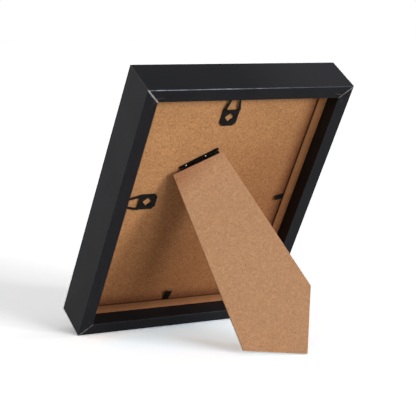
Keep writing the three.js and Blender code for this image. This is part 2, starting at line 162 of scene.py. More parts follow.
world = bpy.data.worlds.new("studio")
world.use_nodes = True
bpy.context.scene.world = world
tree = world.node_tree
tree.nodes.clear()
towards = put(tree, "ShaderNodeTexCoord").outputs["Generated"]
height = put(tree, "ShaderNodeSeparateXYZ", {0: towards}).outputs["Z"]
shown = ramp(tree, height, 0.15, 0.7, 1.0, SKY_SHOWN_ABOVE)
direct = seen_directly(tree, SKY_REFLECTED)
unseen = times(tree, calc(tree, "SUBTRACT", 1.0, direct), SKY_LIGHT)
strength = calc(tree, "MULTIPLY_ADD", direct, shown, unseen)
sky = put(tree, "ShaderNodeBackground", {"Color": (1, 1, 1, 1), "Strength": strength})
put(tree, "ShaderNodeOutputWorld", {"Surface": sky.outputs[0]})

for name, (azimuth, height, spread, strength) in LAMPS.items():
    lamp_data = bpy.data.lights.new(name, "SUN")
    lamp_data.angle = math.radians(spread)
    lamp_data.energy = strength
    lamp = bpy.data.objects.new(name, lamp_data)
    lamp.rotation_euler = (math.radians(90 - height), 0, math.radians(90 + azimuth))
    bpy.context.scene.collection.objects.link(lamp)


# The four rails
# Fibreboard moulding wrapped in satin black foil, sawn at 45 degrees and glued and nailed at the mitres.
# A deep box section with a lip in front that holds the glazing.
FRAME_W = 160.5
FRAME_H = 212.0
FRAME_D = 31.0
RAIL_W = 9.5
LIP_W = 19.5
LIP_T = 4.0
RAIL_SECTION = [  # distance in from the outer face, height, and how far the corner is rounded
    (0, 0, 0.55), (0, -FRAME_D, 0.9), (LIP_W, -FRAME_D, 0.7),
    (LIP_W, LIP_T - FRAME_D, 0.3), (RAIL_W, LIP_T - FRAME_D, 0.15), (RAIL_W, 0, 0.45),
]
MITRE_GAP = 0.02
FOIL = (0.0072, 0.0076, 0.0095, 1)
FOIL_SHEEN = (0.88, 0.93, 1, 1)
FOIL_WORN = (0.0125, 0.0128, 0.0155, 1)
# painted highlight on the top back edge, and faint wear on the other back edges
EDGE_HIGHLIGHT_AND_WEAR = (0.29, 0.31, 0.37, 1)
PALE_MITRE_LINE = (0.36, 0.355, 0.36, 1)
TORN_FOIL = (0.22, 0.17, 0.125, 1)
# painted sheen that pales the top face towards the right
TOP_SHEEN_TONE = (0.04, 0.04, 0.048, 1)
V_NAIL_IN = 6.9
V_NAIL_WING = 6.3
V_NAIL_HALF_ANGLE = math.radians(52)
V_NAIL_T = 0.4
V_NAIL_DEPTH = 10.0
V_NAIL_SLIP = 0.25
NAIL_SLOT_PLAY = 0.1
SMALL_FACE = 2.0  # the faces of roundings are below this, in square millimetres
SHARP_ANGLE = math.radians(50)

# All pieces are drawn in millimetres with the frame upright: X to the right, Y up and Z out of the back,
# from the middle of the lower back edge. This leans the frame back and gives the scene's metres.
LEAN_SIN = 0.503454
LEAN_COS = 0.864022
LEANED = Matrix((
    (-1, 0, 0, 0),
    (0, LEAN_SIN, LEAN_COS, -0.046539712),
    (0, LEAN_COS, -LEAN_SIN, 0),
    (0, 0, 0, 1),
)) @ Matrix.Scale(0.001, 4)


def upright(tree):
    """Where a point of the surface is in upright millimetres."""
    here = put(tree, "ShaderNodeTexCoord").outputs["Object"]
    turn = LEANED.to_3x3().normalized().to_euler()
    return out(tree, "ShaderNodeMapping", {
        "Vector": here, "Location": LEANED.translation, "Rotation": turn, "Scale": (0.001, 0.001, 0.001),
    }, vector_type="TEXTURE")


def grain(tree, where, size, low=0.0, high=1.0, stretch=(1, 1, 1), detail=4.0, shift=0.0):
    """Soft patches of about that size in millimetres, spread from low to high."""
    squeezed = out(tree, "ShaderNodeMapping", {
        "Vector": where, "Location": (shift, shift, shift), "Scale": [1 / size / s for s in stretch],
    })
    noise = {"Vector": squeezed, "Scale": 1.0, "Detail": detail, "Roughness": 0.6}
    patches = put(tree, "ShaderNodeTexNoise", noise)
    return ramp(tree, patches.outputs["Fac"], 0.3, 0.7, low, high)


def finish(colour, roughness, relief, depth, tree, surface):
    """Wires a colour, a roughness and a relief of that depth in millimetres to a surface."""
    tree.links.new(colour, surface.inputs["Base Color"])
    tree.links.new(roughness, surface.inputs["Roughness"])
    bumps = put(tree, "ShaderNodeBump", {"Height": relief, "Distance": depth / 1000})
    tree.links.new(bumps.outputs[0], surface.inputs["Normal"])


def new_material(name, gloss=0.5, metal=0.0):
    material = bpy.data.materials.new(name)
    material.use_nodes = True
    surface = material.node_tree.nodes["Principled BSDF"]
    surface.inputs["Specular IOR Level"].default_value = gloss
    surface.inputs["Metallic"].default_value = metal
    return material, material.node_tree, surface


def from_edges(tree, x, y):
    """How far a point is from the frame's nearer side and from its nearer end."""
    from_middle = calc(tree, "ABSOLUTE", calc(tree, "SUBTRACT", y, FRAME_H / 2))
    from_side = calc(tree, "SUBTRACT", FRAME_W / 2, calc(tree, "ABSOLUTE", x))
    return from_side, calc(tree, "SUBTRACT", FRAME_H / 2, from_middle)


def black_foil():
    material, tree, surface = new_material("black foil", gloss=0.15)
    surface.inputs["Specular Tint"].default_value = FOIL_SHEEN
    where = upright(tree)
    x, y, z = put(tree, "ShaderNodeSeparateXYZ", {0: where}).outputs
    from_side, from_end = from_edges(tree, x, y)
    outer = calc(tree, "MINIMUM", from_side, from_end)
    to_right = ramp(tree, x, -FRAME_W / 2, FRAME_W / 2)
    on_top = calc(tree, "GREATER_THAN", y, FRAME_H / 2)
    # streaks run along each rail and meet at the mitre
    on_upright = calc(tree, "LESS_THAN", from_side, from_end)
    streaks_up = grain(tree, where, 0.5, stretch=(1, 60, 1))
    streaks_across = grain(tree, where, 0.5, stretch=(60, 1, 1))
    either = {0: on_upright, 2: streaks_across, 3: streaks_up}
    streaks = out(tree, "ShaderNodeMix", either, data_type="FLOAT")
    cloudy = grain(tree, where, 25, detail=2)
    tone = calc(tree, "MULTIPLY_ADD", streaks, 0.5, times(tree, cloudy, 0.5))
    colour = mixed(tree, tone, FOIL, FOIL_WORN)
    # painted sheen: the top face is made paler towards the right, where the light grazes it
    upper_face = times(tree, on_top, ramp(tree, from_end, 0.0, 0.6, 1, 0))
    top_sheen = times(tree, upper_face, ramp(tree, to_right, 0.35, 1.0, 0, 0.5))
    colour = mixed(tree, top_sheen, colour, TOP_SHEEN_TONE)
    # painted highlight along the top rail's outer back edge, strongest towards the left, and faint wear
    # along all the back edges
    inner = calc(tree, "ABSOLUTE", calc(tree, "SUBTRACT", outer, RAIL_W))
    corner = out(tree, "ShaderNodeCombineXYZ", {"X": calc(tree, "MINIMUM", outer, inner), "Y": z})
    from_edge = put(tree, "ShaderNodeVectorMath", {0: corner}, operation="LENGTH").outputs["Value"]
    top_edge = times(tree, on_top, calc(tree, "LESS_THAN", from_end, 1.0))
    highlight_and_wear_strength = calc(tree, "MULTIPLY_ADD", top_edge, ramp(tree, to_right, 0.0, 1.0, 0.9, 0.1), 0.06)
    scuffs = grain(tree, where, 6, 0.25, 1, detail=3, shift=9)
    painted_edge_tone = times(tree, ramp(tree, from_edge, 0.3, 0.6, 1, 0), scuffs, highlight_and_wear_strength)
    colour = mixed(tree, painted_edge_tone, colour, EDGE_HIGHLIGHT_AND_WEAR)
    # pale grey lines along the mitres, widest at the top left
    mitre = times(tree, calc(tree, "ABSOLUTE", calc(tree, "SUBTRACT", from_side, from_end)), math.sqrt(0.5))
    ragged = grain(tree, where, 1.3, low=-0.12, high=0.16, detail=5)
    worst = times(tree, on_top, calc(tree, "LESS_THAN", x, 0.0))
    reach = calc(tree, "MULTIPLY_ADD", worst, 0.22, 0.25)
    past = calc(tree, "SUBTRACT", calc(tree, "ADD", mitre, ragged), reach)
    at_back = ramp(tree, z, -1.6, -0.3, 0.08, 1)
    patchy = calc(tree, "MAXIMUM", grain(tree, where, 4, 0.55, 1, detail=2, shift=5), worst)
    pale_mitre_line = times(tree, ramp(tree, past, 0.0, 0.16, 1, 0), at_back, patchy)
    # and torn a little where a V-nail went in
    far = calc(tree, "SUBTRACT", calc(tree, "MAXIMUM", from_side, from_end), V_NAIL_IN)
    near = calc(tree, "SUBTRACT", outer, V_NAIL_IN)
    slope = V_NAIL_HALF_ANGLE - math.pi / 4
    along = calc(tree, "SUBTRACT", times(tree, far, math.cos(slope)), times(tree, near, math.sin(slope)))
    aside = calc(tree, "ADD", times(tree, far, math.sin(slope)), times(tree, near, math.cos(slope)))
    beyond = calc(tree, "ABSOLUTE", calc(tree, "SUBTRACT", along, V_NAIL_WING / 2))
    torn = times(
        tree,
        ramp(tree, calc(tree, "ADD", calc(tree, "ABSOLUTE", aside), ragged), 0.25, 0.5, 1, 0),
        ramp(tree, beyond, V_NAIL_WING / 2, V_NAIL_WING / 2 + 0.4, 1, 0),
        ramp(tree, z, -0.5, -0.2),
        grain(tree, where, 2.5, 0.0, 0.5, detail=3, shift=7),
        calc(tree, "MULTIPLY_ADD", on_top, 0.75, 0.25),
    )
    colour = mixed(tree, torn, colour, TORN_FOIL)
    pale = calc(tree, "MAXIMUM", worst, ramp(tree, outer, 4.0, 8.0, 1, 0.4))
    colour = mixed(tree, pale_mitre_line, colour, mixed(tree, pale, TORN_FOIL, PALE_MITRE_LINE))
    bare = calc(tree, "MAXIMUM", pale_mitre_line, torn)
    roughness = calc(tree, "MULTIPLY_ADD", tone, 0.1, calc(tree, "MULTIPLY_ADD", bare, 0.3, 0.36))
    roughness = calc(tree, "MULTIPLY_ADD", painted_edge_tone, -0.15, roughness)
    relief = calc(tree, "MULTIPLY_ADD", bare, -2.0, calc(tree, "MULTIPLY_ADD", cloudy, 0.2, streaks))
    finish(colour, roughness, relief, 0.012, tree, surface)
    return material


def new_tree(name, **inputs):
    """An empty geometry tree. Inputs gives the kind of each named size."""
    tree = bpy.data.node_groups.new(name, "GeometryNodeTree")
    tree.interface.new_socket("Geometry", in_out="INPUT", socket_type="NodeSocketGeometry")
    for label, kind in inputs.items():
        tree.interface.new_socket(label.replace("_", " "), in_out="INPUT", socket_type="NodeSocket" + kind)
    tree.interface.new_socket("Geometry", in_out="OUTPUT", socket_type="NodeSocketGeometry")
    return tree, put(tree, "NodeGroupInput").outputs


def close_tree(tree, shape, material):
    """Ends a tree with plain geometry in one material."""
    real = out(tree, "GeometryNodeRealizeInstances", {0: shape})
    dressed = out(tree, "GeometryNodeSetMaterial", {"Geometry": real, "Material": material})
    put(tree, "NodeGroupOutput", {0: dressed})
    return tree


def grown(tree, base, **sizes):
    """The plain mesh that a tree makes of a base mesh at these sizes."""
    holder = bpy.data.objects.new("holder", base)
    maker = holder.modifiers.new("maker", "NODES")
    maker.node_group = tree
    for socket in tree.interface.items_tree:
        label = socket.name.replace(" ", "_")
        if socket.in_out == "INPUT" and label in sizes:
            maker[socket.identifier] = sizes[label]
    bpy.context.scene.collection.objects.link(holder)
    mesh = bpy.data.meshes.new_from_object(holder.evaluated_get(bpy.context.evaluated_depsgraph_get()))
    bpy.data.objects.remove(holder)
    return mesh


def cut_out(mesh, tool):
    """The mesh less the tool."""
    holder = bpy.data.objects.new("holder", mesh)
    cutter = bpy.data.objects.new("cutter", tool)
    for each in (holder, cutter):
        bpy.context.scene.collection.objects.link(each)
    saw = holder.modifiers.new("saw", "BOOLEAN")
    saw.operation = "DIFFERENCE"
    saw.solver = "EXACT"
    saw.use_self = True
    saw.object = cutter
    rest = bpy.data.meshes.new_from_object(holder.evaluated_get(bpy.context.evaluated_depsgraph_get()))
    for each in (holder, cutter):
        bpy.data.objects.remove(each)
    return rest


def piece(name, mesh, place, body, replaced, materials=()):
    """Puts a finished mesh, drawn in millimetres, in its place in the scene."""
    mesh.name = name
    if materials:
        mesh.materials.clear()
        for material in materials:
            mesh.materials.append(material)
    mesh.set_sharp_from_angle(angle=SHARP_ANGLE)
    mesh.polygons.foreach_set("use_smooth", [face.area < SMALL_FACE for face in mesh.polygons])
    mesh.transform(LEANED @ place)
    made = bpy.data.objects.new(name, mesh)
    bpy.context.scene.collection.objects.link(made)
    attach(made, body)
    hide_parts(*replaced)


def moulding_tree():
    """A straight moulding along X with its outer face on Y = 0, mitred at both ends."""
    tree, sizes = new_tree("mitred moulding", Length="Float", Gap="Float", Finish="Material")
    outline = out(tree, "GeometryNodeMeshToCurve", {"Mesh": sizes["Geometry"]})
    rounding = out(tree, "GeometryNodeInputNamedAttribute", {"Name": "rounding"}, data_type="FLOAT")
    bends = {"Curve": outline, "Radius": rounding, "Count": 4}
    outline = out(tree, "GeometryNodeFilletCurve", bends, mode="POLY")
    end = out(tree, "GeometryNodeFillCurve", {"Curve": outline}, mode="NGONS")
    drawn = out(tree, "GeometryNodeExtrudeMesh", {"Mesh": end, "Offset Scale": 2.0, "Individual": False})
    other = out(tree, "GeometryNodeFlipFaces", {0: end})
    whole = put(tree, "GeometryNodeJoinGeometry").inputs[0]
    tree.links.new(drawn, whole)
    tree.links.new(other, whole)
    closed = out(tree, "GeometryNodeMergeByDistance", {
        "Geometry": whole.node.outputs[0], "Distance": 0.0001,
    })
    here = out(tree, "GeometryNodeInputPosition")
    across, height, along = put(tree, "ShaderNodeSeparateXYZ", {0: here}).outputs
    length = calc(tree, "MULTIPLY_ADD", sizes["Gap"], -math.sqrt(2), sizes["Length"])
    reach = calc(tree, "MULTIPLY_ADD", length, 0.5, times(tree, across, -1.0))
    place = out(tree, "ShaderNodeCombineXYZ", {
        "X": times(tree, calc(tree, "SUBTRACT", along, 1.0), reach), "Y": across, "Z": height,
    })
    mitred = out(tree, "GeometryNodeSetPosition", {"Geometry": closed, "Position": place})
    return close_tree(tree, mitred, sizes["Finish"])


def section(corners):
    """A closed line through the corners of a section, each with its rounding."""
    mesh = bpy.data.meshes.new("section")
    count = len(corners)
    mesh.from_pydata([(across, height, 0) for across, height, _ in corners],
                     [(k, (k + 1) % count) for k in range(count)], [])
    mesh.attributes.new("rounding", "FLOAT", "POINT").data.foreach_set("value", [r for _, _, r in corners])
    return mesh


def nail_tree():
    """A V at each corner of the frame, its point outwards and its top a little below the back face."""
    tree, sizes = new_tree("nails in the mitres", Wing="Float", Thickness="Float", Top="Float",
                           Bottom="Float", Finish="Material")
    tall = calc(tree, "SUBTRACT", sizes["Top"], sizes["Bottom"])
    size = out(tree, "ShaderNodeCombineXYZ", {"X": sizes["Wing"], "Y": sizes["Thickness"], "Z": tall})
    strip = out(tree, "GeometryNodeMeshCube", {
        "Size": size, "Vertices X": 14, "Vertices Y": 2, "Vertices Z": 2,
    })
    middle = out(tree, "ShaderNodeCombineXYZ", {
        "X": times(tree, sizes["Wing"], 0.5),
        "Z": times(tree, calc(tree, "ADD", sizes["Top"], sizes["Bottom"]), 0.5),
    })
    strip = out(tree, "GeometryNodeTransform", {"Geometry": strip, "Translation": middle})
    both = put(tree, "GeometryNodeJoinGeometry").inputs[0]
    for side in (-1, 1):
        turn = (0, 0, side * V_NAIL_HALF_ANGLE)
        wing = out(tree, "GeometryNodeTransform", {"Geometry": strip, "Rotation": turn})
        tree.links.new(wing, both)
    corners = out(tree, "GeometryNodeMeshGrid", {
        "Size X": FRAME_W - 2 * V_NAIL_IN, "Size Y": FRAME_H - 2 * V_NAIL_IN,
        "Vertices X": 2, "Vertices Y": 2,
    })
    here = out(tree, "GeometryNodeInputPosition")
    x, y, _ = put(tree, "ShaderNodeSeparateXYZ", {0: here}).outputs
    inwards = [times(tree, calc(tree, "SIGN", each), -1.0) for each in (y, x)]
    quarter = out(tree, "ShaderNodeCombineXYZ", {"Z": calc(tree, "ARCTAN2", *inwards)})
    nails = out(tree, "GeometryNodeInstanceOnPoints", {
        "Points": corners, "Instance": both.node.outputs[0], "Rotation": quarter,
    })
    up = (0, FRAME_H / 2, 0)
    nails = out(tree, "GeometryNodeTransform", {"Geometry": nails, "Translation": up})
    return close_tree(tree, nails, sizes["Finish"])


def outer_edge(x, y, quarter_turns):
    """The place of a side, given by the middle of its outer edge, with Y pointing inwards."""
    return Matrix.Translation((x, y, 0)) @ Matrix.Rotation(quarter_turns * math.pi / 2, 4, "Z")


SIDES = {  # place and length
    "bottom": (outer_edge(0, 0, 0), FRAME_W),
    "right": (outer_edge(FRAME_W / 2, FRAME_H / 2, 1), FRAME_H),
    "top": (outer_edge(0, FRAME_H, 2), FRAME_W),
    "left": (outer_edge(-FRAME_W / 2, FRAME_H / 2, -1), FRAME_H),
}
foil = black_foil()
moulding = moulding_tree()
nails = nail_tree()
slots = grown(nails, bpy.data.meshes.new("none"), Wing=V_NAIL_WING + V_NAIL_SLIP,
              Thickness=V_NAIL_T + NAIL_SLOT_PLAY, Top=1.0, Bottom=-V_NAIL_DEPTH - V_NAIL_SLIP, Finish=foil)
for side, (place, length) in SIDES.items():
    bar = grown(moulding, section(RAIL_SECTION), Length=length, Gap=MITRE_GAP, Finish=foil)
    tool = slots.copy()
    tool.transform(place.inverted())
    piece("rail_" + side + "_foil", cut_out(bar, tool), place, "frame", ["rail_" + side])


# The V-nails
# Bent strips of plain spring steel, pressed into both rails across each mitre from behind, point outwards.
NAIL_TONE = (0.16, 0.13, 0.11, 1)
NAIL_DARK = (0.06, 0.045, 0.035, 1)


def nail_steel():
    material, tree, surface = new_material("nail steel", metal=1.0)
    where = upright(tree)
    rolled = grain(tree, where, 0.4, stretch=(1, 1, 30))
    colour = mixed(tree, grain(tree, where, 2.5), NAIL_TONE, NAIL_DARK)
    finish(colour, calc(tree, "MULTIPLY_ADD", rolled, 0.2, 0.35), rolled, 0.01, tree, surface)
    return material


v_nails = grown(nails, bpy.data.meshes.new("none"), Wing=V_NAIL_WING, Thickness=V_NAIL_T, Top=-V_NAIL_SLIP,
                Bottom=-V_NAIL_DEPTH, Finish=nail_steel())
piece("v_nails", v_nails, Matrix.Identity(4), "frame",
      ["v_nail_bottom_left", "v_nail_bottom_right", "v_nail_top_right", "v_nail_top_left"])


# The liner strips
# Bare sawn fibreboard, glued inside the rails. Their inner ledge carries the mat, and the bend tabs are
# pushed into slits in them.
LINER_W = 7.0
OPENING_IN = RAIL_W + LINER_W
LINER_DROP = 11.0
LEDGE_W = 3.0
LEDGE_DROP = 17.0
LINER_FRONT = 24.4
LINER_GLUE = 0.1
LINER_GAP = 0.1
LINER_SECTION = [  # as in RAIL_SECTION
    (0, -LINER_DROP, 0.1), (0, -LINER_FRONT, 0.15),
    (LINER_W + LEDGE_W - LINER_GLUE, -LINER_FRONT, 0.15),
    (LINER_W + LEDGE_W - LINER_GLUE, -LEDGE_DROP, 0.2),
    (LINER_W - LINER_GLUE, -LEDGE_DROP, 0.1), (LINER_W - LINER_GLUE, -LINER_DROP, 0.25),
]
LINER_TONE = (0.84, 0.355, 0.138, 1)
LINER_PATCH = (0.7, 0.288, 0.11, 1)
LINER_FIBRE = (0.9, 0.46, 0.21, 1)
LINER_FLECK = (0.2, 0.085, 0.03, 1)
LINER_INSIDE = (0.36, 0.165, 0.07, 1)
# painted shade in the gap between liner and board
LINER_GAP_SHADE = (0.09, 0.035, 0.012, 1)
LINER_AT_BOTTOM = (0.58, 0.56, 0.57, 1)


def bare_fibreboard():
    material, tree, surface = new_material("bare fibreboard", gloss=0.12)
    where = upright(tree)
    fine = grain(tree, where, 0.35, detail=6)
    fibres = grain(tree, where, 0.9, stretch=(2.5, 2.5, 0.6), detail=5, shift=3)
    patches = grain(tree, where, 9, detail=2, shift=8)
    colour = mixed(tree, patches, LINER_TONE, LINER_PATCH)
    colour = mixed(tree, times(tree, fibres, 0.4), colour, LINER_FIBRE)
    colour = mixed(tree, ramp(tree, fine, 0.72, 0.95, 0, 0.5), colour, LINER_FLECK)
    # it is paler towards the rail, and painted shade makes it dark on its inner edge, along the gap to the
    # board
    x, y, _ = put(tree, "ShaderNodeSeparateXYZ", {0: where}).outputs
    inward = calc(tree, "MINIMUM", *from_edges(tree, x, y))
    colour = mixed(tree, ramp(tree, inward, RAIL_W, OPENING_IN, 0, 0.75), colour, LINER_INSIDE)
    painted_edge_tone = ramp(tree, inward, OPENING_IN - 0.15, OPENING_IN - 0.02, 0, 0.75)
    colour = mixed(tree, painted_edge_tone, colour, LINER_GAP_SHADE)
    # the bottom strip is darker than the others
    at_bottom = ramp(tree, y, OPENING_IN, OPENING_IN + 2, 1, 0)
    colour = mixed(tree, at_bottom, colour, LINER_AT_BOTTOM, "MULTIPLY")
    relief = calc(tree, "ADD", fine, fibres)
    finish(colour, calc(tree, "MULTIPLY_ADD", fine, 0.15, 0.72), relief, 0.06, tree, surface)
    return material


liner_board = bare_fibreboard()
liner_in = RAIL_W + LINER_GLUE
for side, (place, length) in SIDES.items():
    strip = grown(moulding, section(LINER_SECTION), Length=length - 2 * liner_in, Gap=LINER_GAP,
                  Finish=liner_board)
    piece("liner_" + side + "_strip", strip, place @ Matrix.Translation((0, liner_in, 0)), "frame",
          ["liner_" + side])


# The back board
# Brown hardboard, smooth side out, sawn to drop in inside the liner. It carries the hangers and the hinge.
BOARD_W = 126.3
BOARD_H = 177.8
BOARD_T = 2.5
BOARD_BACK = 11.8
BOARD_CORNER_R = 0.3
BOARD_EASE = 0.15
# pale, dark and flecks
BOARD_TONES = (0.615, 0.316, 0.134, 1), (0.458, 0.22, 0.088, 1), (0.2, 0.075, 0.025, 1)
# the board's sawn edge, darkened with painted shade where it shows in the gap to the liner
BOARD_RIM_SHADE_TONES = (0.14, 0.06, 0.024, 1), (0.08, 0.033, 0.013, 1), (0.04, 0.015, 0.006, 1)
# painted shade along the board's right and lower edges
EDGE_SHADE = (0.42, 0.3, 0.27, 1)
EDGE_SHADE_FADE = (-2.5, 12.0)
# painted shade towards the board's lower right
LOWER_RIGHT_SHADE = (0.66, 0.56, 0.49, 1)
LOWER_RIGHT_SHADE_FADE = (0.0, 180.0)


def oblong(left, right, low, high):
    """The corners of an oblong, anticlockwise."""
    return [(left, low), (right, low), (right, high), (left, high)]


def inset(loop, by):
    """A closed line moved towards its left by a distance, its corners kept sharp."""
    moved = []
    for k, here in enumerate(loop):
        before, after = loop[k - 1], loop[(k + 1) % len(loop)]
        first = (Vector(here) - Vector(before)).normalized()
        second = (Vector(after) - Vector(here)).normalized()
        left, right = Vector((-first.y, first.x)), Vector((-second.y, second.x))
        moved.append(Vector(here) + (left + right) * by / (1 + left.dot(right)))
    return moved


def rounded(corners, radius=0.0, steps=4):
    """A closed line whose corners are rounded. A corner may bring its own radius."""
    line = []
    for k, here in enumerate(corners):
        own = here[2] if len(here) > 2 else radius
        point = Vector(here[:2])
        before = (Vector(corners[k - 1][:2]) - point).normalized()
        after = (Vector(corners[(k + 1) % len(corners)][:2]) - point).normalized()
        half = before.angle(after) / 2
        if own <= 0 or half > math.radians(89):
            line.append(point)
            continue
        back = own / math.tan(half)
        middle = point + (before + after).normalized() * own / math.sin(half)
        start, end = point + before * back, point + after * back
        for step in range(steps + 1):
            mix = start.lerp(end, step / steps) - middle
            line.append(middle + mix.normalized() * own)
    return line


def as_mesh(shape):
    """A plain mesh of a shape that is done."""
    mesh = bpy.data.meshes.new("shape")
    shape.to_mesh(mesh)
    shape.free()
    return mesh


def plate(outline, holes, low, high, ease, steps=2):
    """A flat piece of sheet with eased rims. The outline runs anticlockwise and its holes clockwise."""
    rings = []
    for k in range(steps + 1):
        angle = math.pi / 2 * k / steps
        rings.append((ease * (1 - math.sin(angle)), low + ease * (1 - math.cos(angle))))
    rings += [(away, high + low - height) for away, height in reversed(rings)]
    sheet = bmesh.new()
    caps = ([], [])
    for loop in [outline, *holes]:
        levels = [
            [sheet.verts.new((p.x, p.y, height)) for p in inset(loop, away)] for away, height in rings
        ]
        for under, over in zip(levels, levels[1:]):
            for k in range(len(loop)):
                after = (k + 1) % len(loop)
                rim = sheet.faces.new((under[k], under[after], over[after], over[k]))
                rim.material_index = 1
        caps[0].append(levels[0])
        caps[1].append(levels[-1])
    for top, cap in enumerate(caps):
        verts = [v for level in cap for v in level]
        for a, b, c in tessellate([[v.co for v in level] for level in cap]):
            corner = (verts[a], verts[b], verts[c])
            normal = (corner[1].co - corner[0].co).cross(corner[2].co - corner[0].co)
            sheet.faces.new(corner if (normal.z > 0) == bool(top) else corner[::-1])
    return as_mesh(sheet)


def hardboard(name, light, dark, fleck, contrast=1.0, size=None):
    """Pressed wood fibre: a brown face of fine pale and dark fibres. Size is given for a board with painted
    shade along its right and lower edges and towards its lower right."""
    material, tree, surface = new_material(name, gloss=0.25)
    here = put(tree, "ShaderNodeTexCoord").outputs["Object"]
    where = out(tree, "ShaderNodeMapping", {"Vector": here, "Scale": (1000, 1000, 1000)})
    clouds = grain(tree, where, 20, detail=2)
    mottle = grain(tree, where, 4, detail=4, shift=3)
    fine = grain(tree, where, 1.6, detail=2, shift=6)
    dust = grain(tree, where, 1.1, detail=3, shift=9)
    tone = calc(tree, "MULTIPLY_ADD", mottle, 0.35, times(tree, fine, 0.45))
    tone = calc(tree, "MULTIPLY_ADD", clouds, 0.2, tone)
    tone = calc(tree, "MULTIPLY_ADD", calc(tree, "SUBTRACT", tone, 0.5), contrast, 0.5)
    pale = [*(min(1, c * 1.2) for c in light[:3]), 1]
    colour = mixed(tree, tone, light, dark)
    colour = mixed(tree, ramp(tree, fine, 0.25, 0.0, 0, 0.3 * contrast), colour, pale)
    colour = mixed(tree, ramp(tree, dust, 0.6, 1.0, 0, 0.45 * contrast), colour, fleck)
    if size:
        # painted shade along its right and lower edges, next to the liner and the rails
        x, y, _ = put(tree, "ShaderNodeSeparateXYZ", {0: upright(tree)}).outputs
        from_side = calc(tree, "SUBTRACT", size[0] / 2, x)
        from_end = calc(tree, "SUBTRACT", y, (FRAME_H - size[1]) / 2)
        near = ramp(tree, calc(tree, "MINIMUM", from_side, from_end), *EDGE_SHADE_FADE, 1, 0)
        colour = mixed(tree, near, colour, EDGE_SHADE, "MULTIPLY")
        # and painted shade makes it darker and redder towards the lower right
        down = calc(tree, "MULTIPLY_ADD", x, 0.9, calc(tree, "SUBTRACT", FRAME_H, y))
        colour = mixed(tree, ramp(tree, down, *LOWER_RIGHT_SHADE_FADE), colour, LOWER_RIGHT_SHADE, "MULTIPLY")
    relief = calc(tree, "MULTIPLY_ADD", dust, 0.5, fine)
    finish(colour, calc(tree, "MULTIPLY_ADD", fine, 0.12, 0.6), relief, 0.02, tree, surface)
    return material


board_face = hardboard("hardboard", *BOARD_TONES, contrast=1.1, size=(BOARD_W, BOARD_H))
board_rim_shade = hardboard("hardboard edge in painted shade", *BOARD_RIM_SHADE_TONES)
board_outline = oblong(-BOARD_W / 2, BOARD_W / 2, -BOARD_H / 2, BOARD_H / 2)
board = plate(rounded(board_outline, BOARD_CORNER_R), [], -BOARD_T, 0, BOARD_EASE)
piece("back_board_panel", board, Matrix.Translation((0, FRAME_H / 2, -BOARD_BACK)), "frame",
      ["back_board"], [board_face, board_rim_shade])


# The hangers
# Stamped from thin black enamelled sheet steel, one for each way up. Petals folded out of the diamond
# hole are clenched in the board. The loop stands off it, with teeth that hold the frame on its nail.
HANGER_IN = 30.9
HANGER_T = 0.6
HANGER_EASE = 0.12
HANGER_HALF_W = 6.5
HANGER_TAIL = 7.0
HANGER_SHOULDER = 6.65
HANGER_CORNER = 2.4
HANGER_LIFT = 0.3
HANGER_STEP = 0.8
HANGER_LAP = 1.5
LAP_STEPS = 6
HANGER_TIP_HALF_W = 3.5
LOOP_L = 9.45
LOOP_HALF_NEAR = 4.55
LOOP_HALF_FAR = 2.75
LOOP_BAR = 1.6
TOOTH_H = 1.1
DIAMOND_HALF = 3.6
PETAL_DEPTH = 2.0
PETAL_T = 0.6
PETAL_CORNER_R = 0.2
PETAL_EASE = 0.08
HANGERS = {"top": 5.0, "left": -5.6}  # how far along the side
ENAMEL = (0.004, 0.004, 0.004, 1)
ENAMEL_PATCH = (0.009, 0.0085, 0.008, 1)
ENAMEL_SCRATCH = (0.08, 0.078, 0.075, 1)


def black_enamel():
    material, tree, surface = new_material("black enamel", gloss=0.1)
    where = upright(tree)
    skin = grain(tree, where, 0.6, detail=3)
    patches = grain(tree, where, 4, detail=3, shift=2)
    scratch = grain(tree, where, 0.25, stretch=(8, 1, 1), detail=2, shift=4)
    colour = mixed(tree, patches, ENAMEL, ENAMEL_PATCH)
    colour = mixed(tree, ramp(tree, scratch, 0.92, 1.0, 0, 0.3), colour, ENAMEL_SCRATCH)
    finish(colour, calc(tree, "MULTIPLY_ADD", patches, 0.14, 0.3), skin, 0.01, tree, surface)
    return material


def ring_tree():
    """Copies of a shape turned round the middle, evenly spaced."""
    tree, sizes = new_tree("round the hole", Count="Int", Finish="Material")
    spots = out(tree, "GeometryNodeMeshLine", {"Count": sizes["Count"], "Offset": (0, 0, 0)})
    index = out(tree, "GeometryNodeInputIndex")
    step = calc(tree, "DIVIDE", 2 * math.pi, sizes["Count"])
    angle = times(tree, calc(tree, "ADD", index, 0.5), step)
    turn = out(tree, "ShaderNodeCombineXYZ", {"Z": angle})
    copies = out(tree, "GeometryNodeInstanceOnPoints", {
        "Points": spots, "Instance": sizes["Geometry"], "Rotation": turn,
    })
    return close_tree(tree, copies, sizes["Finish"])


def joined(*meshes):
    """Several meshes as one."""
    whole = bmesh.new()
    for mesh in meshes:
        whole.from_mesh(mesh)
    return as_mesh(whole)


def diamond(half, x=0.0, y=0.0):
    """A square hole on its corner, clockwise."""
    return [(x, y - half), (x - half, y), (x, y + half), (x + half, y)]


def petals(half, low, high, enamel):
    """The four petals folded down round a diamond hole."""
    edge = half * math.sqrt(2)
    outline = rounded([(0, low), (edge / 2, high), (-edge / 2, high)], PETAL_CORNER_R, 2)
    petal = plate(outline, [], -PETAL_T / 2, PETAL_T / 2, PETAL_EASE)
    petal.transform(Matrix.Translation((0, (edge + PETAL_T) / 2, 0)) @ Matrix.Rotation(math.pi / 2, 4, "X"))
    return grown(ring_tree(), petal, Count=4, Finish=enamel)


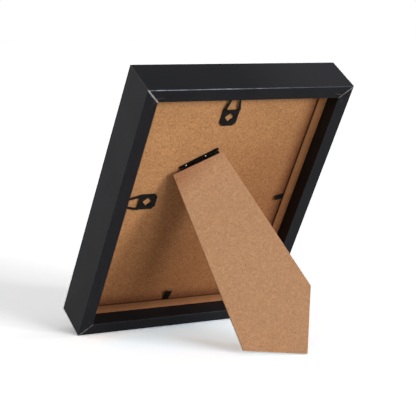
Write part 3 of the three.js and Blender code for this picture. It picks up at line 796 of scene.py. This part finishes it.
def hanger(enamel):
    loop_end = HANGER_SHOULDER + LOOP_L
    tip = loop_end + LOOP_BAR
    tooth = loop_end - TOOTH_H
    tail_half = HANGER_HALF_W - HANGER_CORNER
    corner = HANGER_CORNER - HANGER_TAIL
    outline = [
        (-tail_half, -HANGER_TAIL, 1.4), (tail_half, -HANGER_TAIL, 1.4),
        (HANGER_HALF_W, corner, 1.4), (HANGER_HALF_W, HANGER_SHOULDER, 3),
        (HANGER_TIP_HALF_W, tip, 0.9), (-HANGER_TIP_HALF_W, tip, 0.9),
        (-HANGER_HALF_W, HANGER_SHOULDER, 3), (-HANGER_HALF_W, corner, 1.4),
    ]
    loop = [
        (-LOOP_HALF_NEAR, HANGER_SHOULDER, 0.5), (-LOOP_HALF_FAR, tooth, 0.2),
        (-LOOP_HALF_FAR / 2, loop_end, 0.15), (0, tooth, 0.2), (LOOP_HALF_FAR / 2, loop_end, 0.15),
        (LOOP_HALF_FAR, tooth, 0.2), (LOOP_HALF_NEAR, HANGER_SHOULDER, 0.5),
    ]
    holes = [rounded(loop, steps=3), rounded(diamond(DIAMOND_HALF), 0.25, 3)]
    flat = plate(rounded(outline), holes, HANGER_LIFT, HANGER_LIFT + HANGER_T, HANGER_EASE)
    bent = bmesh.new()
    bent.from_mesh(flat)
    for k in range(LAP_STEPS + 1):
        height = HANGER_SHOULDER - HANGER_LAP * (1 - k / LAP_STEPS)
        bmesh.ops.bisect_plane(bent, geom=bent.verts[:] + bent.edges[:] + bent.faces[:],
                               plane_co=(0, height, 0), plane_no=(0, 1, 0), dist=1e-5)
    for vert in bent.verts:
        share = min(1, max(0, (vert.co.y - HANGER_SHOULDER + HANGER_LAP) / HANGER_LAP))
        vert.co.z += HANGER_STEP * share * share * (3 - 2 * share)
    bent.to_mesh(flat)
    bent.free()
    return joined(flat, petals(DIAMOND_HALF, -PETAL_DEPTH, HANGER_LIFT + HANGER_T / 2, enamel))


enamel = black_enamel()
for side, along in HANGERS.items():
    spot = SIDES[side][0] @ Matrix.Translation((along, HANGER_IN, -BOARD_BACK))
    piece("hanger_" + side + "_stamping", hanger(enamel), spot @ Matrix.Rotation(math.pi, 4, "Z"),
          "frame", ["hanger_" + side], [enamel])


# The bend tabs
# Short strips of black sheet steel pushed into the liner. Each lies on the board's back and is bent up
# by hand to let the board out. The half in the liner and the half that bends are drawn apart.
TAB_L = 12.2
TAB_W = 4.5
TAB_T = 0.35
TAB_LIFT = 0.35
TAB_BEND_IN = 0.3
TAB_SEAM = 0.01
TAB_TIP_R = 0.9
TAB_EASE = 0.06
TABS = {  # how far along the side, length of the bent half, bend
    "bottom": (-8.8, 10.2, math.radians(13)),
    "right": (2.7, 7.2, math.radians(14)),
}


def turned(line, axis, steps):
    """A line of points turned once round an axis through the origin."""
    lathe = bmesh.new()
    verts = [lathe.verts.new(point) for point in line]
    edges = [lathe.edges.new(pair) for pair in zip(verts, verts[1:])]
    bmesh.ops.spin(lathe, geom=verts + edges, cent=(0, 0, 0), axis=axis, angle=2 * math.pi, steps=steps)
    bmesh.ops.remove_doubles(lathe, verts=lathe.verts, dist=1e-4)
    bmesh.ops.recalc_face_normals(lathe, faces=lathe.faces)
    return as_mesh(lathe)


def rod(radius, start, end):
    """A round rod along X with domed ends."""
    profile = [(start, 0.0)]
    for k in range(1, 4):
        angle = math.pi / 2 * k / 3
        profile.append((start + radius / 3 * (1 - math.cos(angle)), radius * math.sin(angle)))
    profile += [(end + start - x, r) for x, r in reversed(profile)]
    return turned([(x, r, 0) for x, r in profile], axis=(1, 0, 0), steps=16)


def tab_strip(start, end, tip_radius):
    half = TAB_W / 2
    outline = [(-half, start, 0), (half, start, 0), (half, end, tip_radius), (-half, end, tip_radius)]
    return plate(rounded(outline), [], -TAB_T / 2, TAB_T / 2, TAB_EASE)


for side, (along, blade, bend) in TABS.items():
    mouth = SIDES[side][0] @ Matrix.Translation((along, OPENING_IN, TAB_LIFT - BOARD_BACK))
    shank = tab_strip(blade - TAB_L, TAB_BEND_IN - TAB_T / 2 - TAB_SEAM, 0)
    piece("tab_shank_" + side + "_strip", shank, mouth, "frame",
          ["tab_shank_" + side], [enamel])
    crease = rod(TAB_T / 2, -TAB_W / 2, TAB_W / 2)
    pivot = mouth @ Matrix.Translation((0, TAB_BEND_IN, 0)) @ Matrix.Rotation(bend, 4, "X")
    bent_half = joined(tab_strip(0, blade, TAB_TIP_R), crease)
    piece("tab_blade_" + side + "_strip", bent_half, pivot, "tab_" + side,
          ["tab_blade_" + side], [enamel])


# The leg's hinge
# Two leaves of thin black sheet steel, rolled round the pin in knuckles. The upper one is a narrow strip
# on two rivets. The lower one is clenched to the leg's inner face and has a tongue that stops the leg.
HINGE_X = -19.9
HINGE_Y = 143.8
HINGE_SLANT = math.radians(30)
PIN_UP = 1.3
LEG_OPEN = math.radians(47)
STRIP_L = 30.0
STRIP_SHIFT = 2.4
STRIP_PAST_PIN = 0.6
LEAF_T = 0.5
LEAF_CORNER_R = 0.5
LEAF_EASE = 0.08
BOARD_LEAF_W = 3.25
LEG_LEAF_W = 12.0
KNUCKLES = 5
KNUCKLE_R = 1.0
KNUCKLE_GAP = 0.12
KNUCKLE_EASE = 0.06
PIN_R = 0.4
TONGUE_W = 4.0
TONGUE_L = 2.6
TONGUE_PLAY = 0.15
TONGUE_LIFT = 0.3
TONGUE_CORNER_R = 0.4
RIVET_PITCH = 15.3
RIVET_UP = 1.78
RIVET_HOLE_R = 0.6
LEAF_DIAMOND_HALF = 2.0
LEAF_PETAL_PITCH = 16.0


def row_tree():
    """A shape repeated along X."""
    tree, sizes = new_tree("in a row", Count="Int", First="Float", Pitch="Float", Finish="Material")
    start = out(tree, "ShaderNodeCombineXYZ", {"X": sizes["First"]})
    step = out(tree, "ShaderNodeCombineXYZ", {"X": sizes["Pitch"]})
    spots = out(tree, "GeometryNodeMeshLine", {
        "Count": sizes["Count"], "Start Location": start, "Offset": step,
    })
    copies = out(tree, "GeometryNodeInstanceOnPoints", {"Points": spots, "Instance": sizes["Geometry"]})
    return close_tree(tree, copies, sizes["Finish"])


def curl():
    """One knuckle: the sheet's end rolled round the pin. Its outline is in Y and Z, drawn along X."""
    turns = [math.radians(-90 - 12 * k) for k in range(21)]
    outer = [(math.cos(a) * KNUCKLE_R, math.sin(a) * KNUCKLE_R) for a in turns]
    inner = [(math.cos(a) * (KNUCKLE_R - LEAF_T), math.sin(a) * (KNUCKLE_R - LEAF_T)) for a in turns]
    web = KNUCKLE_R + KNUCKLE_GAP + LEAF_T / 2
    outline = [(web, LEAF_T - KNUCKLE_R), *inner, *outer[::-1], (web, -KNUCKLE_R)]
    long = STRIP_L / KNUCKLES - KNUCKLE_GAP
    shape = plate([Vector(p) for p in outline], [], -long / 2, long / 2, KNUCKLE_EASE)
    shape.transform(Matrix(((0, 0, 1, 0), (1, 0, 0, 0), (0, 1, 0, 0), (0, 0, 0, 1))))
    return shape


def leaf(low_edge, high_edge, bottom, holes, extra=0.0):
    """The flat of a leaf, as long as the pin and the extra."""
    left, right = STRIP_SHIFT - STRIP_L / 2, STRIP_SHIFT + STRIP_L / 2 + extra
    corners = oblong(left, right, low_edge, high_edge)
    return plate(rounded(corners, LEAF_CORNER_R), holes, bottom, bottom + LEAF_T, LEAF_EASE)


def round_hole(x, y, radius, count=20):
    """A round hole, clockwise."""
    turns = [2 * math.pi * k / count for k in range(count)]
    return [Vector((x + radius * math.sin(turn), y + radius * math.cos(turn))) for turn in turns]


row = row_tree()
pitch = STRIP_L / KNUCKLES
first = STRIP_SHIFT - STRIP_L / 2 + pitch / 2
half_turn = Matrix.Rotation(math.pi, 4, "X")
hinge = Matrix.Translation((HINGE_X, HINGE_Y, PIN_UP - BOARD_BACK)) @ Matrix.Rotation(HINGE_SLANT, 4, "Z")
opened = hinge @ Matrix.Rotation(-LEG_OPEN, 4, "X")

rivet_holes = [round_hole(end * RIVET_PITCH / 2, RIVET_UP, RIVET_HOLE_R) for end in (-1, 1)]
strip = leaf(KNUCKLE_R + KNUCKLE_GAP, BOARD_LEAF_W, -KNUCKLE_R, rivet_holes, STRIP_PAST_PIN)
board_knuckles = grown(row, curl(), Count=KNUCKLES // 2, First=first + pitch, Pitch=2 * pitch,
                       Finish=enamel)
piece("hinge_strip", joined(strip, board_knuckles), hinge, "frame",
      ["hinge_board_leaf"], [enamel])

petal_down = -(LEG_LEAF_W + KNUCKLE_R) / 2
petal_spots = [(end * LEAF_PETAL_PITCH / 2 + STRIP_SHIFT, petal_down) for end in (-1, 1)]
diamonds = [rounded(diamond(LEAF_DIAMOND_HALF, x, y), 0.2, 2) for x, y in petal_spots]
flap = leaf(-LEG_LEAF_W, -KNUCKLE_R - KNUCKLE_GAP, KNUCKLE_R - LEAF_T, diamonds)
leg_curl = curl()
leg_curl.transform(half_turn)
leg_knuckles = grown(row, leg_curl, Count=(KNUCKLES + 1) // 2, First=first, Pitch=2 * pitch,
                     Finish=enamel)
feet = petals(LEAF_DIAMOND_HALF, -PETAL_DEPTH, PIN_UP - KNUCKLE_R + LEAF_T / 2, enamel)
feet.transform(Matrix.Translation((0, petal_down, PIN_UP)) @ half_turn)
feet = grown(row, feet, Count=2, First=petal_spots[0][0], Pitch=LEAF_PETAL_PITCH, Finish=enamel)
tongue_low = LEAF_T - KNUCKLE_R + TONGUE_LIFT
tongue = oblong(STRIP_SHIFT - TONGUE_W / 2, STRIP_SHIFT + TONGUE_W / 2, PIN_R + TONGUE_PLAY, TONGUE_L)
tongue = plate(rounded(tongue, TONGUE_CORNER_R), [], tongue_low, tongue_low + LEAF_T, LEAF_EASE)
tongue.transform(Matrix.Rotation(LEG_OPEN, 4, "X"))
piece("hinge_flap", joined(flap, leg_knuckles, feet, tongue), opened, "leg",
      ["hinge_leg_leaf"], [enamel])

pin = rod(PIN_R, STRIP_SHIFT - STRIP_L / 2 - KNUCKLE_GAP, STRIP_SHIFT + STRIP_L / 2 + KNUCKLE_GAP)
piece("hinge_pin_wire", pin, hinge, "frame", ["hinge_pin"], [enamel])


# The two rivets
# Bright plated steel, domed on the back. Their tails are spread flat in front of the board, where the
# insert hides them.
RIVET_R = 0.55
RIVET_HEAD_R = 0.74
RIVET_HEAD_H = 0.5
RIVET_TAIL_R = 1.3
RIVET_TAIL_H = 0.5
RIVET_LIFT = 0.05
RIVET_TAIL_EASE = 0.1
RIVET_RIM_IN = 0.06
RIVET_RIM_H = 0.08
RIVET_DOME_STEPS = 8
PLATED = (0.86, 0.86, 0.9, 1)
PLATED_PATCH = (0.62, 0.62, 0.65, 1)


def bright_steel():
    material, tree, surface = new_material("bright plated steel", metal=1.0)
    where = upright(tree)
    scuffs = grain(tree, where, 0.3, detail=4)
    colour = mixed(tree, grain(tree, where, 1.1, detail=2), PLATED, PLATED_PATCH)
    finish(colour, calc(tree, "MULTIPLY_ADD", scuffs, 0.15, 0.14), scuffs, 0.008, tree, surface)
    return material


def rivet():
    """One rivet, from the middle of its tail to the middle of its dome."""
    seat = LEAF_T - KNUCKLE_R + RIVET_LIFT
    front = -PIN_UP - BOARD_T
    profile = [
        (0, front), (RIVET_TAIL_R - RIVET_TAIL_EASE, front), (RIVET_TAIL_R, front + RIVET_TAIL_EASE),
        (RIVET_TAIL_R, front + RIVET_TAIL_H - RIVET_TAIL_EASE),
        (RIVET_TAIL_R - RIVET_TAIL_EASE, front + RIVET_TAIL_H),
        (RIVET_R, front + RIVET_TAIL_H), (RIVET_R, seat), (RIVET_HEAD_R - RIVET_RIM_IN, seat),
    ]
    for k in range(RIVET_DOME_STEPS):
        angle = math.pi / 2 * k / RIVET_DOME_STEPS
        dome = (RIVET_HEAD_H - RIVET_RIM_H) * math.sin(angle)
        profile.append((RIVET_HEAD_R * math.cos(angle), seat + RIVET_RIM_H + dome))
    profile.append((0, seat + RIVET_HEAD_H))
    mesh = turned([(r, 0, z) for r, z in profile], axis=(0, 0, 1), steps=32)
    mesh.transform(Matrix.Translation((0, RIVET_UP, 0)))
    return mesh


rivets = grown(row, rivet(), Count=2, First=-RIVET_PITCH / 2, Pitch=RIVET_PITCH, Finish=bright_steel())
piece("hinge_rivets", rivets, hinge, "frame", ["hinge_rivet_left", "hinge_rivet_right"])


# The leg
# Hardboard again, a little paler, sawn to five sides. Its slanting foot has one edge to stand on with
# the frame upright and one with the frame on its side.
LEG_T = 2.5
LEG_TOP_W = 38.0
LEG_TOP_LEFT = 0.2
LEG_TOP_RIGHT = 1.1
FOOT_LOW_W = 45.0
FOOT_SIDE_H = 47.2
LEG_CORNER_R = 0.35
LEG_EASE = 0.18
LEG_TONES = (0.655, 0.354, 0.182, 1), (0.518, 0.27, 0.132, 1), (0.26, 0.11, 0.045, 1)
LEG_RIM_TONES = (0.42, 0.21, 0.09, 1), (0.27, 0.12, 0.045, 1), (0.12, 0.05, 0.02, 1)
# painted shade at the leg's top, by the hinge
LEG_TOP_SHADE = (0.72, 0.6, 0.55, 1)
LEG_TOP_SHADE_FADE = (-6, 14)
LEG_TOP_SHADE_WAY = (0.35, -1, 0)
foot_x = FRAME_W / 2 - OPENING_IN
folded = (Matrix.Translation((HINGE_X, HINGE_Y, 0)) @ Matrix.Rotation(HINGE_SLANT, 4, "Z")).inverted()
foot = [folded @ Vector(p) for p in (
    (foot_x - FOOT_LOW_W, OPENING_IN, 0), (foot_x, OPENING_IN, 0), (foot_x, OPENING_IN + FOOT_SIDE_H, 0),
)]
leg_top = [(LEG_TOP_W / 2, -LEG_TOP_RIGHT), (-LEG_TOP_W / 2, -LEG_TOP_LEFT)]
leg_outline = [(p.x, p.y) for p in foot] + leg_top
leg_face = hardboard("leg hardboard", *LEG_TONES, contrast=0.8)
leg_rim = hardboard("sawn hardboard edge", *LEG_RIM_TONES)
tree = leg_face.node_tree
surface = tree.nodes["Principled BSDF"]
# painted shade darkens it at the top, next to the hinge and the board, most in its left corner
along = opened.to_3x3() @ Vector(LEG_TOP_SHADE_WAY)
down = put(tree, "ShaderNodeVectorMath", {0: upright(tree), 1: along}, operation="DOT_PRODUCT")
from_top = calc(tree, "SUBTRACT", down.outputs["Value"], opened.translation.dot(along))
plain = surface.inputs["Base Color"].links[0].from_socket
top_shaded = mixed(tree, ramp(tree, from_top, *LEG_TOP_SHADE_FADE, 1, 0), plain, LEG_TOP_SHADE, "MULTIPLY")
tree.links.new(top_shaded, surface.inputs["Base Color"])
leg = plate(rounded(leg_outline, LEG_CORNER_R), [], PIN_UP, PIN_UP + LEG_T, LEG_EASE)
piece("leg_panel", leg, opened, "leg", ["leg"], [leg_face, leg_rim])


# Glazing, mat and insert
# A clear sheet behind the lip, a white window mat cut on the bevel, and a plain sheet of paper behind it.
MAT_TONES = (0.88, 0.87, 0.83, 1), (0.82, 0.81, 0.76, 1)
PAPER_TONES = (0.74, 0.76, 0.765, 1), (0.69, 0.71, 0.72, 1)
GLASS_TONES = (0.97, 0.985, 0.98, 1), (0.955, 0.975, 0.97, 1)
GLASS_IOR = 1.5


def card(name, light, dark, gloss):
    material, tree, surface = new_material(name, gloss=gloss)
    where = upright(tree)
    felt = grain(tree, where, 0.5, detail=5)
    clouds = grain(tree, where, 14, detail=2, shift=3)
    tone = calc(tree, "MULTIPLY_ADD", felt, 0.4, times(tree, clouds, 0.5))
    colour = mixed(tree, tone, light, dark)
    finish(colour, calc(tree, "MULTIPLY_ADD", felt, 0.1, 0.75), felt, 0.02, tree, surface)
    return material


def clear_glazing():
    material, tree, surface = new_material("clear glazing")
    where = upright(tree)
    smear = grain(tree, where, 30, detail=4)
    surface.inputs["Transmission Weight"].default_value = 1.0
    surface.inputs["IOR"].default_value = GLASS_IOR
    colour = mixed(tree, smear, *GLASS_TONES)
    finish(colour, calc(tree, "MULTIPLY_ADD", smear, 0.02, 0.005), smear, 0.002, tree, surface)
    return material


for node, material in (
    ("glazing", clear_glazing()),
    ("mat", card("white mat card", *MAT_TONES, 0.3)),
    ("insert_sheet", card("plain paper", *PAPER_TONES, 0.35)),
):
    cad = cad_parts[node]
    for spot in cad.material_slots:
        spot.material = material
